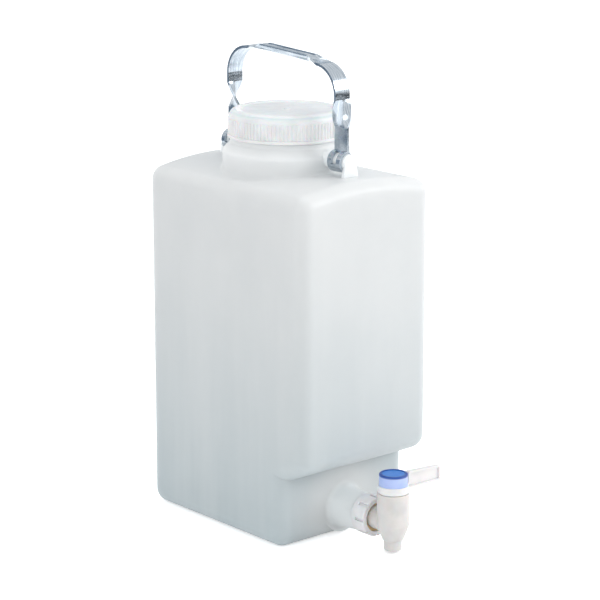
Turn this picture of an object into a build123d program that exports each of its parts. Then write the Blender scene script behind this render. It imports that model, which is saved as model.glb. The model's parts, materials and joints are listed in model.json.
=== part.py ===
from build123d import *
import os
from math import cos, hypot, pi, radians, sin

# Carboy with spigot, in millimetres
# Origin: centre of the footprint of the upper body, on the base plane
# +Z is up, and the spigot points to -Y

# Tank body
body_width = 156.0
body_length = 227.0
shoulder_edge_z = 331.0
shoulder_crown = 9.0
edge_radius = 14.0
tank_wall = 2.4

# Recess for the spigot, across the whole front
recess_depth = 32.5
recess_inner_z = 66.0
recess_outer_z = 81.0

# Neck
neck_root_radius = 60.0
neck_root_fillet = 4.0
neck_step_z = 354.5
neck_step_round = 5.0
neck_waist_z = 362.0
neck_waist_step = 3.0
neck_waist_round = 3.0
neck_inner_round = 4.0
neck_wall = 3.0
finish_radius = 50.0
finish_z = 366.5
finish_wall = 3.4
lip_z = 389.0
lip_round = 1.0

# Thread between the neck and the cap, one start, right-handed
thread_lead = 6.0
thread_root = 2.6
thread_tip = 1.2
thread_clearance = 0.7
neck_thread_z = 373.0
neck_thread_turns = 1.25
cap_thread_z = 374.0
cap_thread_turns = 1.0

# Cap with its liner; a rib's widths are shares of the ribs' pitch
cap_height = 26.0
cap_clearance = 2.0
cap_wall = 2.0
cap_top_thickness = 2.6
cap_shoulder_radius = 8.0
cap_bead_overhang = 1.2
cap_bead_height = 3.0
cap_bead_round = 0.4
cap_edge_round = 0.3
cap_rib_count = 96
cap_rib_height = 0.7
cap_rib_root = 0.54
cap_rib_tip = 0.30
cap_rib_land = 0.4
cap_dish_margin = 11.0
cap_dish_depth = 1.1
cap_dish_round = 2.0
cap_nub_radius = 3.2
cap_nub_height = 1.0
liner_overhang = 1.0
liner_inset = 3.6
liner_thickness = 1.4

# Lugs that carry the handle
pivot_z = 353.0
pin_radius = 7.5
pin_overhang = 1.5
post_thickness = 4.0
post_top_half_width = 6.0
post_foot_half_width = 10.0
post_clearance = 0.5

# Handle, bent from one flat steel strap
strap_width = 17.0
strap_thickness = 2.4
leg_y = 76.0
grip_front_z = 437.5
grip_rear_z = 446.5
corner_radius = 27.0
twist_bottom_z = 384.0
twist_top_z = 409.0
twist_steps = 6
grip_roll = 178.0
grip_blend = 16.0
blend_steps = 4
clip_clearance = 0.3
clip_end_angle = 245.0
clip_root_angle = 2.0
tongue_width = 6.0
tongue_end_angle = -6.0
tongue_lip = 4.0
tongue_lip_lean = 22.0
tongue_lip_overlap = 0.3
slot_clearance = 0.4
slot_end_angle = 190.0

# Boss of the tank that carries the spigot
spigot_z = 28.5
boss_length = 38.0
boss_base_radius = 20.0
boss_end_radius = 17.6
boss_flare = 5.0
boss_end_round = 0.6
boss_thread_radius = 15.2
boss_thread_length = 8.0
boss_wall = 2.8

# Collar nut with its washer and gasket
nut_radius = 18.6
nut_clearance = 0.15
nut_lip = 3.0
nut_opening_radius = 14.0
nut_back_round = 1.0
nut_front_round = 1.4
notch_count = 8
notch_width = 3.0
notch_length = 11.0
notch_depth = 1.8
washer_thickness = 1.5
gasket_thickness = 1.5

# Spigot body
flange_thickness = 3.0
flange_radius = 15.0
inlet_radius = 11.0
inlet_bore_radius = 4.5
barrel_gap = 67.5
barrel_radius = 15.0
barrel_top_z = 57.5
barrel_shoulder_z = 27.0
barrel_shoulder_round = 6.0
barrel_top_round = 0.8
barrel_waist_z = 12.5
barrel_waist_radius = 9.6
barrel_waist_round = 1.2
plug_bore_radius = 10.0
plug_bore_floor_z = 21.0
outlet_radius = 8.3
outlet_end_z = 2.5
outlet_bore_radius = 5.5
outlet_root_round = 0.8
outlet_end_round = 1.6

# Plug with its hub and lever
plug_clearance = 0.06
plug_end_gap = 0.4
plug_port_radius = 4.5
hub_gap = 0.3
hub_radius = 14.4
hub_height = 7.0
hub_round = 0.8
hub_post_radius = 10.6
hub_post_height = 8.0
seal_width = 1.9
seal_clearance = 0.02
seal_groove_gap = 0.05
seal_heights = {"plug_seal_lower": 38.0, "plug_seal_upper": 50.0}
lever_heading = -8.0
lever_root = 11.5
lever_reach = 51.0
lever_top_gap = 0.8
lever_cap_gap = 1.8
lever_foot_rise = 1.2
lever_tip_rise = 3.5
lever_web = 2.2
lever_rim_width = 5.4
lever_rim_depth = 1.6
lever_round = 2.0

# Cap pressed on the hub
lever_cap_radius = 13.2
lever_cap_height = 11.0
lever_cap_fit = 0.05
lever_cap_top = 2.6
lever_cap_edge = 1.2
lever_cap_rim = 2.4
lever_cap_dish = 0.6

# How far solids reach into each other where they are joined or cut
overlap = 1.0
thread_seat = 0.3

# Places that follow from the sizes above
front_y = -body_length / 2
recess_y = front_y + recess_depth
crown_z = shoulder_edge_z + shoulder_crown
neck_bore_radius = finish_radius - finish_wall
neck_waist_radius = finish_radius + neck_waist_step
edge_round = min(edge_radius, body_width / 2 - neck_root_radius - neck_root_fillet)
cap_inner_radius = finish_radius + cap_clearance
cap_radius = cap_inner_radius + cap_wall
cap_rib_seat = cap_radius - cap_wall / 2
cap_rib_top = cap_height - cap_shoulder_radius - cap_rib_land
thread_height = cap_clearance - thread_clearance
cap_thread_turn = 360 * ((cap_thread_z - neck_thread_z) / thread_lead - 0.5)
cap_bead_radius = cap_radius + cap_bead_overhang
cap_dish_radius = cap_radius - cap_dish_margin
liner_radius = finish_radius + liner_overhang
liner_bore_radius = neck_bore_radius - liner_inset
cap_z = lip_z + liner_thickness + cap_top_thickness - cap_height
boss_shoulder = boss_length - boss_thread_length
boss_bore_radius = boss_thread_radius - boss_wall
flange_start = boss_length + gasket_thickness
washer_start = flange_start + flange_thickness
nut_end = washer_start + washer_thickness + nut_lip
barrel_y = recess_y - barrel_gap
plug_radius = plug_bore_radius - plug_clearance
seal_radius = plug_bore_radius - seal_clearance
hub_z = barrel_top_z + hub_gap
hub_top_z = hub_z + hub_height
clip_inner = pin_radius + clip_clearance
clip_outer = clip_inner + strap_thickness
post_y = leg_y + strap_width / 2 + post_clearance

spigot_axis = Plane(origin=(0, recess_y, spigot_z), x_dir=(1, 0, 0), z_dir=(0, -1, 0))


def turned(points, radii):
    """Solid of revolution about Z: a closed outline of radius and height"""
    outline = Plane.XZ * FilletPolyline(*points, radius=radii, close=True)
    return revolve(make_face(outline), Axis.Z)


def rod(radius, start, end):
    """Round bar on Z from start to end"""
    return Pos(0, 0, start) * Cylinder(radius, end - start, align=(Align.CENTER, Align.CENTER, Align.MIN))


# Tank
def side_profile(inset):
    """Length against height, with the recess, moved in by inset"""
    points = [
        (-front_y, 0),
        (-front_y, crown_z),
        (front_y, crown_z),
        (front_y, recess_outer_z),
        (recess_y, recess_inner_z),
        (recess_y, 0),
    ]
    return offset(make_face(Polyline(*points, close=True)), amount=-inset, kind=Kind.INTERSECTION)


def end_profile(inset):
    """Width against height, with the crowned shoulder, moved in by inset"""
    half = body_width / 2
    crown = ThreePointArc((half, shoulder_edge_z), (0, crown_z), (-half, shoulder_edge_z))
    walls = Polyline((-half, shoulder_edge_z), (-half, 0), (half, 0), (half, shoulder_edge_z))
    return offset(make_face(Curve() + [crown, walls]), amount=-inset, kind=Kind.INTERSECTION)


def thread(wall, height, start, turns):
    """Helical ridge on a round wall: it stands out by height, or in where height is negative"""
    line = Helix(pitch=thread_lead, height=thread_lead * turns, radius=wall)
    seat = wall - height * thread_seat
    tip = wall + height
    half_root = thread_root / 2
    half_tip = thread_tip / 2
    outline = Polyline((seat, -half_root), (tip, -half_tip), (tip, half_tip), (seat, half_root), close=True)
    return Pos(0, 0, start) * sweep(Plane.XZ * make_face(outline), path=line, is_frenet=True)


def body_form(depth):
    """The rounded body with its skin moved in by depth"""
    half_width = body_width / 2 - edge_round
    half_length = body_length / 2 - edge_round
    side = extrude(Plane.YZ * side_profile(edge_round), half_width, both=True)
    ends = extrude(Plane.XZ * end_profile(edge_round), half_length, both=True)
    return offset(side & ends, amount=edge_round - depth, kind=Kind.ARC)


def neck_outside():
    """Neck from the shoulder to the lip"""
    points = [
        (0, shoulder_edge_z),
        (neck_root_radius, shoulder_edge_z),
        (neck_root_radius, neck_step_z),
        (neck_waist_radius, neck_waist_z),
        (neck_waist_radius, finish_z),
        (finish_radius, finish_z),
        (finish_radius, lip_z),
        (0, lip_z),
    ]
    neck = turned(points, [0, 0, neck_step_round, neck_waist_round, 0, 0, lip_round, 0])
    return neck + thread(finish_radius, thread_height, neck_thread_z, neck_thread_turns)


def neck_inside():
    """Hollow of the neck, open at the lip"""
    root = neck_root_radius - neck_wall
    low = shoulder_edge_z - edge_round
    points = [
        (0, low),
        (root, low),
        (root, neck_step_z - neck_wall),
        (neck_bore_radius, neck_waist_z),
        (neck_bore_radius, lip_z + lip_round),
        (0, lip_z + lip_round),
    ]
    return turned(points, [0, 0, neck_inner_round, neck_waist_round, 0, 0])


def lug(side):
    """Pin for a handle clip with the post under its free end, on the side +1 or -1 of Y"""
    pin_length = post_y + pin_overhang - neck_bore_radius
    pin = Pos(0, side * (neck_bore_radius + pin_length / 2), pivot_z) * Rot(90, 0, 0)
    pin *= Cylinder(pin_radius, pin_length)
    foot_z = shoulder_edge_z
    points = [
        (-post_foot_half_width, foot_z),
        (post_foot_half_width, foot_z),
        (post_top_half_width, pivot_z),
        (-post_top_half_width, pivot_z),
    ]
    post = extrude(Plane.XZ * make_face(Polyline(*points, close=True)), post_thickness / 2, both=True)
    return pin + Pos(0, side * (post_y + post_thickness / 2), 0) * post


def boss_outside():
    """Boss for the spigot, flared into the recessed wall"""
    foot = boss_base_radius + boss_flare + overlap
    points = [
        (0, -edge_round),
        (foot, -edge_round),
        (foot, 0),
        (boss_base_radius, 0),
        (boss_end_radius, boss_shoulder),
        (boss_thread_radius, boss_shoulder),
        (boss_thread_radius, boss_length),
        (0, boss_length),
    ]
    rounds = [0, 0, 0, boss_flare, boss_end_round, 0, boss_end_round, 0]
    return spigot_axis * turned(points, rounds)


def make_tank():
    skin = body_form(0) + neck_outside()
    root = [e for e in skin.edges() if on_neck_root(e)]
    skin = fillet(root, neck_root_fillet)
    skin += [lug(1), lug(-1), boss_outside()]
    hollow = body_form(tank_wall) + neck_inside()
    hollow += spigot_axis * rod(boss_bore_radius, -2 * tank_wall, boss_length + overlap)
    return skin - hollow


def on_neck_root(edge):
    """True for an edge where the neck's root meets the shoulder"""
    spots = [edge @ 0.25, edge @ 0.75]
    at_radius = all(abs(hypot(p.X, p.Y) - neck_root_radius) < 0.01 for p in spots)
    return at_radius and all(shoulder_edge_z < p.Z <= crown_z + 0.1 for p in spots)


# Cap and liner
def rib_ring():
    """Ribs around the cap's skirt"""
    step = 2 * pi / cap_rib_count
    tip = cap_radius + cap_rib_height
    corners = [(-cap_rib_root, cap_radius), (-cap_rib_tip, tip)]
    corners += [(-share, radius) for share, radius in reversed(corners)]
    points = []
    for k in range(cap_rib_count):
        for share, radius in corners:
            angle = (k + share / 2) * step
            points.append((radius * cos(angle), radius * sin(angle)))
    ring = make_face(Polyline(*points, close=True)) - Circle(cap_rib_seat)
    return Pos(0, 0, cap_bead_height) * extrude(ring, cap_rib_top - cap_bead_height)


def make_screw_cap():
    inside = cap_inner_radius
    ceiling = cap_height - cap_top_thickness
    points = [
        (inside, 0),
        (cap_bead_radius, 0),
        (cap_bead_radius, cap_bead_height),
        (cap_radius, cap_bead_height),
        (cap_radius, cap_height),
        (cap_dish_radius, cap_height),
        (cap_dish_radius - 2 * cap_dish_depth, cap_height - cap_dish_depth),
        (0, cap_height - cap_dish_depth),
        (0, ceiling),
        (inside, ceiling),
    ]
    rounds = [cap_edge_round, cap_bead_round, cap_bead_round, cap_edge_round, cap_shoulder_radius]
    rounds += [cap_dish_round, cap_dish_round, 0, 0, 0]
    shell = turned(points, rounds)
    nub = rod(cap_nub_radius, cap_height - 2 * cap_dish_depth, cap_height - cap_dish_depth + cap_nub_height)
    nub = chamfer(nub.edges().group_by(Axis.Z)[-1], cap_nub_height / 2)
    band_start, band_end = cap_bead_height, cap_rib_top
    shell -= rod(cap_bead_radius, band_start, band_end) - rod(cap_rib_seat, band_start, band_end)
    ridge = thread(inside, -thread_height, cap_thread_z - cap_z, cap_thread_turns)
    return Pos(0, 0, cap_z) * (shell + nub + rib_ring() + Rot(0, 0, cap_thread_turn) * ridge)


def make_cap_liner():
    disc = rod(liner_radius, lip_z, lip_z + liner_thickness)
    return disc - rod(liner_bore_radius, lip_z, lip_z + liner_thickness)


# Handle
def strip(far, near):
    """Face between two lines that run the same way"""
    return make_face(Curve() + [far, near, Line(far @ 0, near @ 0), Line(far @ 1, near @ 1)])


def band(inner, outer, start, end):
    """Part of a flat ring between two angles in degrees"""
    arcs = [CenterArc((0, 0), radius, start, end - start) for radius in (outer, inner)]
    return strip(*arcs)


def flat_section():
    """Strap lying flat"""
    across_x = strap_width / 2
    half = strap_thickness / 2
    return strip(Line((across_x, half), (-across_x, half)), Line((across_x, -half), (-across_x, -half)))


def rolled_section(roll):
    """Strap rolled about its length by an angle, as in the grip"""
    mean = strap_width / radians(roll)
    half = strap_thickness / 2
    return Pos(0, -mean) * band(mean - half, mean + half, 90 - roll / 2, 90 + roll / 2)


def grip_blends(grip):
    """Both ends of the grip, where the flat strap rolls up"""
    blend = grip_blend / grip.length
    for start, step in ((0, blend), (1, -blend)):
        sections = [across(grip, start) * flat_section()]
        for k in range(1, blend_steps + 1):
            share = k / blend_steps
            sections.append(across(grip, start + step * share) * rolled_section(grip_roll * share))
        yield loft(sections)


def leg_section(side, height, turn):
    """Strap across a leg: turn 0 faces X, turn 90 faces Y"""
    across = (-side * sin(radians(turn)), -cos(radians(turn)), 0)
    plane = Plane(origin=(0, side * leg_y, height), x_dir=across, z_dir=(0, 0, 1))
    return plane * Rectangle(strap_width, strap_thickness)


def clip(side):
    """Spring clip: the strap curls under the pin, and a tongue closes on its other side"""
    at_pin = Plane(origin=(0, side * leg_y, pivot_z), x_dir=(1, 0, 0), z_dir=(0, -1, 0))
    curl = band(clip_inner, clip_outer, 90 - clip_root_angle, clip_end_angle)
    curl = extrude(at_pin * curl, strap_width / 2, both=True)
    slot = band(clip_inner - overlap, clip_outer + overlap, 90, slot_end_angle)
    curl -= extrude(at_pin * slot, tongue_width / 2 + slot_clearance, both=True)
    tongue = band(clip_inner, clip_outer, tongue_end_angle, 90 + clip_root_angle)
    lip = Rectangle(strap_thickness, tongue_lip, align=(Align.CENTER, Align.MAX))
    lip = Pos((clip_inner + clip_outer) / 2, tongue_lip_overlap) * Rot(0, 0, tongue_lip_lean) * lip
    tongue += Rot(0, 0, tongue_end_angle) * lip
    tongue = extrude(at_pin * tongue, tongue_width / 2, both=True)
    foot_z = pivot_z + clip_inner
    leg = extrude(leg_section(side, foot_z, 0), twist_bottom_z - foot_z)
    return [curl, tongue, leg]


def twist(side):
    """Quarter turn of the strap"""
    rise = twist_top_z - twist_bottom_z
    shares = [k / twist_steps for k in range(twist_steps + 1)]
    return loft([leg_section(side, twist_bottom_z + rise * s, 90 * s) for s in shares])


def make_handle():
    corners = [
        (-leg_y, twist_top_z),
        (-leg_y, grip_front_z),
        (leg_y, grip_rear_z),
        (leg_y, twist_top_z),
    ]
    path = Plane.YZ * FilletPolyline(*corners, radius=corner_radius)
    front_leg, front_corner, grip, rear_corner, rear_leg = path.edges().sort_by(Axis.Y)
    pieces = clip(1) + clip(-1) + [twist(1), twist(-1)]
    for bend in (front_leg, front_corner, rear_corner, rear_leg):
        pieces.append(sweep(across(bend, 0) * flat_section(), path=bend))
    pieces += grip_blends(grip)
    middle = across(grip, grip_blend / grip.length) * rolled_section(grip_roll)
    pieces.append(extrude(middle, grip.length - 2 * grip_blend))
    return pieces[0] + pieces[1:]


def across(edge, share):
    """Plane across an edge of the handle's line, with the strap's width along X"""
    return Plane(origin=edge @ share, x_dir=(1, 0, 0), z_dir=edge % share)


# Spigot
def make_spigot_body():
    points = [
        (0, outlet_end_z),
        (outlet_radius, outlet_end_z),
        (outlet_radius, barrel_waist_z),
        (barrel_waist_radius, barrel_waist_z),
        (barrel_radius, barrel_shoulder_z),
        (barrel_radius, barrel_top_z),
        (0, barrel_top_z),
    ]
    rounds = [0, outlet_end_round, outlet_root_round, barrel_waist_round]
    rounds += [barrel_shoulder_round, barrel_top_round, 0]
    barrel = Pos(0, barrel_y, 0) * turned(points, rounds)
    flange = rod(flange_radius, flange_start, washer_start)
    inlet = spigot_axis * (flange + rod(inlet_radius, flange_start, barrel_gap))
    body = barrel + inlet
    body -= Pos(0, barrel_y, 0) * rod(plug_bore_radius, plug_bore_floor_z, barrel_top_z)
    body -= Pos(0, barrel_y, 0) * rod(outlet_bore_radius, outlet_end_z, plug_bore_floor_z)
    return body - spigot_axis * rod(inlet_bore_radius, flange_start, barrel_gap)


def make_collar_nut():
    inside = boss_thread_radius + nut_clearance
    outline = [
        (inside, boss_shoulder),
        (nut_radius, boss_shoulder),
        (nut_radius, nut_end),
        (nut_opening_radius, nut_end),
        (nut_opening_radius, nut_end - nut_lip),
        (inside, nut_end - nut_lip),
    ]
    nut = turned(outline, [0, nut_back_round, nut_front_round, 0, 0, 0])
    notch = Box(notch_depth * 2, notch_width, notch_length, align=(Align.CENTER, Align.CENTER, Align.MAX))
    notches = PolarLocations(nut_radius, notch_count) * (Pos(0, 0, nut_end) * notch)
    return spigot_axis * (nut - notches)


def ring_on_spigot(inner, outer, start, thickness):
    """Flat ring round the spigot's axis"""
    end = start + thickness
    return spigot_axis * (rod(outer, start, end) - rod(inner, start, end))


def make_slip_washer():
    return ring_on_spigot(inlet_radius + nut_clearance, flange_radius, washer_start, washer_thickness)


def make_boss_gasket():
    return ring_on_spigot(boss_bore_radius, boss_thread_radius, boss_length, gasket_thickness)


def seal(height):
    """Square ring that seals the plug in the barrel"""
    start = height - seal_width / 2
    end = height + seal_width / 2
    return Pos(0, barrel_y, 0) * (rod(seal_radius, start, end) - rod(seal_radius - seal_width, start, end))


def seal_groove(height):
    """Groove in the plug for a seal"""
    floor = seal_radius - seal_width - seal_groove_gap
    half = seal_width / 2 + seal_groove_gap
    ring = rod(plug_bore_radius, height - half, height + half) - rod(floor, height - half, height + half)
    return Pos(0, barrel_y, 0) * ring


def lever():
    """Lever plate with a rim round its edge, along +X from the barrel's axis"""
    cap_side = lever_cap_radius + lever_cap_gap
    top = hub_top_z + lever_cap_height - lever_top_gap
    points = [
        (lever_root, hub_z + lever_foot_rise),
        (lever_reach, hub_z + lever_tip_rise),
        (lever_reach, top),
        (cap_side, top),
        (cap_side, hub_top_z),
        (lever_root, hub_top_z),
    ]
    rounds = [0, lever_round, lever_round, lever_round, 0, 0]
    side = make_face(FilletPolyline(*points, radius=rounds, close=True))
    rim = side - offset(side, amount=-lever_rim_depth)
    plate = extrude(Plane.XZ * side, lever_web / 2, both=True)
    return plate + extrude(Plane.XZ * rim, lever_rim_width / 2, both=True)


def make_valve_plug():
    floor_z = plug_bore_floor_z + plug_end_gap
    plug = rod(plug_radius, floor_z, hub_z)
    plug += fillet(rod(hub_radius, hub_z, hub_top_z).edges(), hub_round)
    plug += rod(hub_post_radius, hub_top_z, hub_top_z + hub_post_height)
    plug += lever()
    plug -= rod(outlet_bore_radius, floor_z, spigot_z)
    port_axis = Plane(origin=(0, 0, spigot_z), x_dir=(0, 1, 0), z_dir=(-1, 0, 0))
    port = port_axis * rod(plug_port_radius, 0, barrel_radius)
    plug = Pos(0, barrel_y, 0) * Rot(0, 0, lever_heading) * (plug - port)
    for height in seal_heights.values():
        plug -= seal_groove(height)
    return plug


def make_lever_cap():
    height = lever_cap_height
    dish = lever_cap_radius - lever_cap_rim
    points = [
        (0, 0),
        (lever_cap_radius, 0),
        (lever_cap_radius, height),
        (dish, height),
        (dish, height - lever_cap_dish),
        (0, height - lever_cap_dish),
    ]
    shell = turned(points, [0, 0, lever_cap_edge, 0, 0, 0])
    shell -= rod(hub_post_radius + lever_cap_fit, 0, height - lever_cap_top)
    return Pos(0, barrel_y, hub_top_z) * shell


parts = {
    "tank": make_tank(),
    "screw_cap": make_screw_cap(),
    "cap_liner": make_cap_liner(),
    "handle": make_handle(),
    "spigot_body": make_spigot_body(),
    "collar_nut": make_collar_nut(),
    "slip_washer": make_slip_washer(),
    "boss_gasket": make_boss_gasket(),
    "valve_plug": make_valve_plug(),
    "lever_cap": make_lever_cap(),
}
for name, height in seal_heights.items():
    parts[name] = seal(height)

os.makedirs("parts", exist_ok=True)
for name, solid in parts.items():
    export_step(solid, f"parts/{name}.step")
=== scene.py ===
import json
from math import cos, radians, sin

import bpy
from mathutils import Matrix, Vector


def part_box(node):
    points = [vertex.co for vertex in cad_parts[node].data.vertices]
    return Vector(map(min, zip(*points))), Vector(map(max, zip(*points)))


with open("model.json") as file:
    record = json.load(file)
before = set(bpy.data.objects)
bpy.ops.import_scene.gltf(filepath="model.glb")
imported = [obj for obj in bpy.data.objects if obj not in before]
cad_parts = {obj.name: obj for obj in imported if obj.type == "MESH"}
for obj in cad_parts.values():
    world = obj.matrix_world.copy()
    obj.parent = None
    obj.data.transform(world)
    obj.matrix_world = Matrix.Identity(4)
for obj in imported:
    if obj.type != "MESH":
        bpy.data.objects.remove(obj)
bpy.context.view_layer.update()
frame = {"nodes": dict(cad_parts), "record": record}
nodes = frame["nodes"]

# Places on the object, in metres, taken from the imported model
tank_low, tank_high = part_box("tank")
lever_cap_low, lever_cap_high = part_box("lever_cap")
nut_low, nut_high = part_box("collar_nut")
nut_middle = (nut_low + nut_high) / 2
boss_depth = 0.012
boss_centre = (nut_middle.x, nut_high.y + boss_depth, nut_middle.z)

# Camera, found by fitting a pinhole camera to the photograph
camera_azimuth = radians(-40.4)
camera_elevation = radians(13.3)
camera_distance = 2.15
camera_centre = Vector((0, 0, 0.23))
camera_right = 0.0120
camera_down = 0.0195
camera_lens = 137.3
camera_sensor = 36.0

# Light: strengths, and name, place, size and power of each lamp
world_light = 0.97
world_tint = (0.97, 0.985, 1, 1)
floor_glow = 0.5
floor_size = 12
lamps = (
    ("key", (1.6, -1.9, 1.5), 1.2, 29.0),
    ("fill", (-2.2, -0.8, 1.0), 1.4, 8.0),
    ("top", (0.2, 0.3, 2.4), 1.6, 9.0),
)

# Cards that only gloss sees: name, place, size and colour
flags = (
    ("flag_front", (0.75, -0.95, 0.30), 0.3, (0.02, 0.025, 0.03, 1)),
    ("flag_back", (-0.85, 0.95, 0.30), 0.8, (0.20, 0.25, 0.31, 1)),
    ("flag_sky", (1.1, 1.3, 0.80), 0.8, (0.34, 0.40, 0.46, 1)),
)

# Colours, linear
white = (1, 1, 1, 1)
floor_colour = (0.9, 0.9, 0.9, 1)
# Tank: painted shade, darker and cooler at the base than at the top
tank_shaded_base = (0.42, 0.505, 0.54, 1)
tank_lit_top = (0.83, 0.86, 0.87, 1)
tank_pale = (0.88, 0.91, 0.92, 1)
tank_cloud = (0.50, 0.57, 0.60, 1)
# Boss: its paler pad, and painted light that spreads from it over the shaded recess around the spigot
boss_pale_and_painted_light = (0.80, 0.82, 0.82, 1)
steel_dark = (0.33, 0.39, 0.45, 1)
steel_light = (0.60, 0.65, 0.70, 1)
blue_face = (0.012, 0.16, 0.54, 1)
blue_rim = (0.008, 0.06, 0.30, 1)
skirt_deep = (0.36, 0.45, 0.76, 1)
skirt_pale = (0.42, 0.51, 0.80, 1)
amber_deep = (0.62, 0.40, 0.15, 1)
amber_pale = (0.80, 0.58, 0.30, 1)
plastic_ior = 1.5


# Node helpers
class Shader:
    """A material with a Principled shader, and short calls for the nodes that feed it"""

    def __init__(self, name):
        self.material = bpy.data.materials.new(name)
        self.material.use_nodes = True
        self.tree = self.material.node_tree
        self.bsdf = self.tree.nodes["Principled BSDF"]
        self.coords = self.tree.nodes.new("ShaderNodeTexCoord").outputs["Object"]

    def node(self, kind, inputs=None, **settings):
        made = self.tree.nodes.new(kind)
        for key, value in settings.items():
            setattr(made, key, value)
        for key, value in (inputs or {}).items():
            if isinstance(value, bpy.types.NodeSocket):
                self.tree.links.new(value, made.inputs[key])
            else:
                made.inputs[key].default_value = value
        return made

    def set(self, **values):
        """Numbers and colours that are the same all over the surface"""
        for key, value in values.items():
            self.bsdf.inputs[key.replace("_", " ")].default_value = value

    def feed(self, key, socket):
        self.tree.links.new(socket, self.bsdf.inputs[key])

    def axis(self, letter):
        split = self.node("ShaderNodeSeparateXYZ", {0: self.coords})
        return split.outputs[letter]

    def stretched(self, x, y, z):
        """Object coordinates scaled along each axis"""
        return self.node("ShaderNodeMapping", {"Vector": self.coords, "Scale": (x, y, z)}).outputs[0]

    def vector(self, operation, a, b=None):
        """Node that does one operation on vectors"""
        inputs = {0: a} if b is None else {0: a, 1: b}
        return self.node("ShaderNodeVectorMath", inputs, operation=operation).outputs

    def noise(self, scale, detail=3.0, roughness=0.5, vector=None):
        inputs = {
            "Vector": vector or self.coords,
            "Scale": scale,
            "Detail": detail,
            "Roughness": roughness,
        }
        return self.node("ShaderNodeTexNoise", inputs).outputs["Fac"]

    def spread(self, value, low=0.3, high=0.7, to_low=0.0, to_high=1.0):
        """Smooth change from to_low to to_high while value goes from low to high

        The default low and high are where most of a noise texture's values lie.
        """
        inputs = {"Value": value, 1: low, 2: high, 3: to_low, 4: to_high}
        made = self.node("ShaderNodeMapRange", inputs, interpolation_type="SMOOTHSTEP")
        return made.outputs[0]

    def mix(self, factor, a, b):
        made = self.node("ShaderNodeMix", data_type="RGBA", blend_type="MIX")
        for key, value in (("Factor", factor), ("A", a), ("B", b)):
            places = [s for s in made.inputs if s.name == key and s.enabled]
            if isinstance(value, bpy.types.NodeSocket):
                self.tree.links.new(value, places[0])
            else:
                places[0].default_value = value
        return [s for s in made.outputs if s.enabled][0]

    def bump(self, height, distance, strength=1.0, under=None):
        inputs = {"Height": height, "Distance": distance, "Strength": strength}
        if under:
            inputs["Normal"] = under
        return self.node("ShaderNodeBump", inputs).outputs[0]


def grey(value, warm=0.0):
    """Linear colour close to grey, a little warmer or cooler"""
    return (value * (1 + warm), value, value * (1 - warm), 1.0)


# Materials
def tank_plastic():
    """Blow-moulded polyethylene: milky, clouded by its wall, with painted shade that makes it cooler
    and darker towards the base
    """
    below_base = 0.06
    boss_near = 0.020
    painted_light_reach = 0.075
    s = Shader("tank_plastic")
    # Painted shade: the tank gets darker and cooler towards its base
    painted_shade_rise = s.spread(s.axis("Z"), tank_low.z - below_base, tank_high.z)
    colour = s.mix(painted_shade_rise, tank_shaded_base, tank_lit_top)
    flow = s.noise(1.0, 4.0, 0.5, s.stretched(22, 22, 2.5))
    colour = s.mix(s.spread(flow, 0.35, 0.7, to_high=0.16), colour, tank_pale)
    cloud = s.noise(11.0, 4.0, 0.5)
    colour = s.mix(s.spread(cloud, 0.4, 0.7, to_high=0.12), colour, tank_cloud)
    # Paler boss pad, with painted light spreading past it to lift the shade in the recess around the
    # spigot
    from_boss = s.vector("DISTANCE", s.coords, boss_centre)["Value"]
    boss_and_painted_light = s.spread(from_boss, boss_near, painted_light_reach, to_low=0.8, to_high=0.0)
    colour = s.mix(boss_and_painted_light, colour, boss_pale_and_painted_light)
    s.feed("Base Color", colour)
    s.set(IOR=plastic_ior, Subsurface_Weight=0.6, Subsurface_Scale=0.02)
    s.set(Subsurface_Radius=(1.0, 1.05, 1.1))
    scuff = s.noise(1.0, 6.0, 0.6, s.stretched(35, 35, 130))
    s.feed("Roughness", s.spread(scuff, 0.4, 0.7, to_low=0.40, to_high=0.52))
    skin = s.bump(s.noise(900.0, 2.0), distance=0.00006, strength=0.5)
    waves = s.bump(s.noise(7.0, 2.0), distance=0.001, strength=0.3, under=skin)
    s.feed("Normal", waves)
    return s.material


def white_plastic(name, low, high, warm, roughness):
    """Injection-moulded plastic with a fine spark-eroded texture"""
    roughness_change = 0.06
    s = Shader(name)
    s.feed("Base Color", s.mix(s.spread(s.noise(60.0)), grey(low, warm), grey(high, warm)))
    s.set(IOR=plastic_ior, Subsurface_Weight=0.3, Subsurface_Scale=0.004)
    smooth = roughness - roughness_change
    rough = roughness + roughness_change
    s.feed("Roughness", s.spread(s.noise(140.0), to_low=smooth, to_high=rough))
    s.feed("Normal", s.bump(s.noise(1800.0, 2.0), distance=0.00004, strength=0.6))
    return s.material


def strap_steel():
    """Bright rolled strap with fine lines and small scratches"""
    s = Shader("handle_steel")
    lines = s.noise(1.0, 4.0, 0.6, s.stretched(1500, 60, 60))
    scratches = s.noise(1.0, 6.0, 0.7, s.stretched(90, 400, 400))
    s.feed("Base Color", s.mix(s.spread(lines), steel_dark, steel_light))
    s.set(Metallic=1.0)
    s.feed("Roughness", s.spread(scratches, 0.35, 0.7, to_low=0.14, to_high=0.27))
    s.feed("Normal", s.bump(lines, distance=0.00003, strength=0.35))
    return s.material


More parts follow.
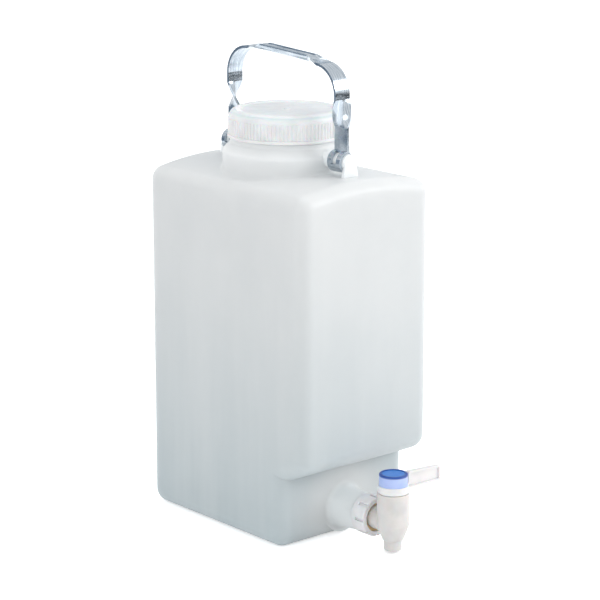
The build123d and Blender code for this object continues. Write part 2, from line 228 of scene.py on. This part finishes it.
def blue_plastic():
    """Blue cap: a deep blue top with a darker rim, and a milky skirt that lets the blue show"""
    skirt_below_top = 0.0028
    face_below_top = 0.0012
    rim_width = 0.0030
    rim_blur = 0.0008
    s = Shader("blue_plastic")
    top = s.spread(s.axis("Z"), lever_cap_high.z - skirt_below_top, lever_cap_high.z - face_below_top)
    middle = (lever_cap_low + lever_cap_high) / 2
    from_axis = s.vector("SUBTRACT", s.coords, (middle.x, middle.y, 0))[0]
    radius = s.vector("LENGTH", s.vector("MULTIPLY", from_axis, (1, 1, 0))[0])["Value"]
    outer = (lever_cap_high.x - lever_cap_low.x) / 2
    rim_start = outer - rim_width
    face = s.mix(s.spread(radius, rim_start, rim_start + rim_blur), blue_face, blue_rim)
    skirt = s.mix(s.spread(s.noise(90.0)), skirt_deep, skirt_pale)
    s.feed("Base Color", s.mix(top, skirt, face))
    s.set(IOR=plastic_ior, Subsurface_Weight=0.15, Subsurface_Scale=0.003)
    s.feed("Roughness", s.spread(s.noise(200.0), to_low=0.28, to_high=0.36))
    s.feed("Normal", s.bump(s.noise(1500.0, 2.0), distance=0.00004, strength=0.5))
    return s.material


def amber_plastic():
    """Amber washer, a little clear"""
    s = Shader("amber_washer")
    s.feed("Base Color", s.mix(s.noise(120.0), amber_deep, amber_pale))
    s.set(IOR=plastic_ior, Subsurface_Weight=0.4, Subsurface_Scale=0.002)
    s.feed("Roughness", s.spread(s.noise(300.0), to_low=0.2, to_high=0.32))
    return s.material


def soft_rubber():
    """Black gasket and seals"""
    s = Shader("gasket_rubber")
    s.feed("Base Color", s.mix(s.noise(300.0), grey(0.012), grey(0.03)))
    s.feed("Roughness", s.spread(s.noise(500.0), to_low=0.55, to_high=0.75))
    s.feed("Normal", s.bump(s.noise(2500.0, 2.0), distance=0.00005, strength=0.6))
    return s.material


def liner_foam():
    """White foam ring in the cap"""
    s = Shader("liner_foam")
    s.feed("Base Color", s.mix(s.noise(400.0), grey(0.62), grey(0.78)))
    s.feed("Roughness", s.spread(s.noise(500.0), to_low=0.7, to_high=0.85))
    s.feed("Normal", s.bump(s.noise(1200.0, 2.0), distance=0.0001, strength=0.6))
    return s.material


def dress():
    """Gives each carried-over node the material of its slot"""
    made = {
        "tank_plastic": tank_plastic(),
        "cap_plastic": white_plastic("cap_plastic", 0.68, 0.75, warm=-0.006, roughness=0.36),
        "spigot_plastic": white_plastic("spigot_plastic", 0.55, 0.62, warm=0.03, roughness=0.34),
        "plug_plastic": white_plastic("plug_plastic", 0.66, 0.74, warm=0.004, roughness=0.34),
        "handle_steel": strap_steel(),
        "blue_plastic": blue_plastic(),
        "amber_washer": amber_plastic(),
        "gasket_rubber": soft_rubber(),
        "liner_foam": liner_foam(),
    }
    for part in frame["record"]["subparts"]:
        mesh = nodes[part["node"]].data
        mesh.materials.clear()
        mesh.materials.append(made[part["material_slot"]])


# Studio
def soft_light(name, place, size, power):
    lamp = bpy.data.lights.new(name, "AREA")
    lamp.shape = "DISK"
    lamp.size = size
    lamp.energy = power
    obj = bpy.data.objects.new(name, lamp)
    bpy.context.scene.collection.objects.link(obj)
    obj.location = place
    obj.rotation_euler = (camera_centre - Vector(place)).to_track_quat("-Z", "Y").to_euler()


def seen_directly(tree):
    """1 for rays from the camera, from gloss and through clear pieces"""
    path = tree.nodes.new("ShaderNodeLightPath")
    total = path.outputs["Is Camera Ray"]
    for name in ("Is Glossy Ray", "Is Transmission Ray"):
        larger = tree.nodes.new("ShaderNodeMath")
        larger.operation = "MAXIMUM"
        tree.links.new(total, larger.inputs[0])
        tree.links.new(path.outputs[name], larger.inputs[1])
        total = larger.outputs[0]
    return total


def make_world():
    """White where it is seen, and a slightly cool light on the object"""
    world = bpy.data.worlds.new("studio")
    bpy.context.scene.world = world
    world.use_nodes = True
    tree = world.node_tree
    shown = tree.nodes["Background"]
    shown.inputs["Color"].default_value = white
    shown.inputs["Strength"].default_value = 1.0
    light = tree.nodes.new("ShaderNodeBackground")
    light.inputs["Color"].default_value = world_tint
    light.inputs["Strength"].default_value = world_light
    mix = tree.nodes.new("ShaderNodeMixShader")
    tree.links.new(seen_directly(tree), mix.inputs[0])
    tree.links.new(light.outputs[0], mix.inputs[1])
    tree.links.new(shown.outputs[0], mix.inputs[2])
    tree.links.new(mix.outputs[0], tree.nodes["World Output"].inputs["Surface"])


def make_floor():
    """Pale floor that looks white and keeps the object's shadow"""
    bpy.ops.mesh.primitive_plane_add(size=floor_size, location=(0, 0, 0))
    floor = bpy.context.object
    floor.name = "floor"
    material = bpy.data.materials.new("floor")
    material.use_nodes = True
    tree = material.node_tree
    bsdf = tree.nodes["Principled BSDF"]
    bsdf.inputs["Base Color"].default_value = floor_colour
    bsdf.inputs["Roughness"].default_value = 0.9
    bsdf.inputs["Emission Color"].default_value = white
    glow = tree.nodes.new("ShaderNodeMath")
    glow.operation = "MULTIPLY"
    glow.inputs[1].default_value = floor_glow
    tree.links.new(seen_directly(tree), glow.inputs[0])
    tree.links.new(glow.outputs[0], bsdf.inputs["Emission Strength"])
    floor.data.materials.append(material)


def flag(name, place, size, colour):
    """A card that only gloss sees: it puts a darker band in the steel"""
    bpy.ops.mesh.primitive_plane_add(size=size, location=place)
    card = bpy.context.object
    card.name = name
    card.rotation_euler = (camera_centre - Vector(place)).to_track_quat("Z", "Y").to_euler()
    card.visible_camera = False
    card.visible_diffuse = False
    card.visible_shadow = False
    card.visible_transmission = False
    material = bpy.data.materials.new(name)
    material.use_nodes = True
    bsdf = material.node_tree.nodes["Principled BSDF"]
    bsdf.inputs["Base Color"].default_value = colour
    bsdf.inputs["Roughness"].default_value = 1.0
    card.data.materials.append(material)


def make_camera():
    """Camera at the photograph's angle, aimed a little right of and below the object's middle"""
    right = Vector((cos(camera_azimuth), sin(camera_azimuth), 0))
    back = Vector((
        cos(camera_elevation) * sin(camera_azimuth),
        -cos(camera_elevation) * cos(camera_azimuth),
        sin(camera_elevation),
    ))
    up = back.cross(right)
    aim = camera_centre + right * camera_right - up * camera_down
    data = bpy.data.cameras.new("camera")
    data.lens = camera_lens
    data.sensor_width = camera_sensor
    camera = bpy.data.objects.new("camera", data)
    bpy.context.scene.collection.objects.link(camera)
    camera.location = camera_centre + back * camera_distance
    camera.rotation_euler = (aim - camera.location).to_track_quat("-Z", "Y").to_euler()
    bpy.context.scene.camera = camera


dress()
make_world()
make_floor()
for lamp in lamps:
    soft_light(*lamp)
for card in flags:
    flag(*card)
make_camera()
bpy.context.scene.view_settings.view_transform = "Standard"
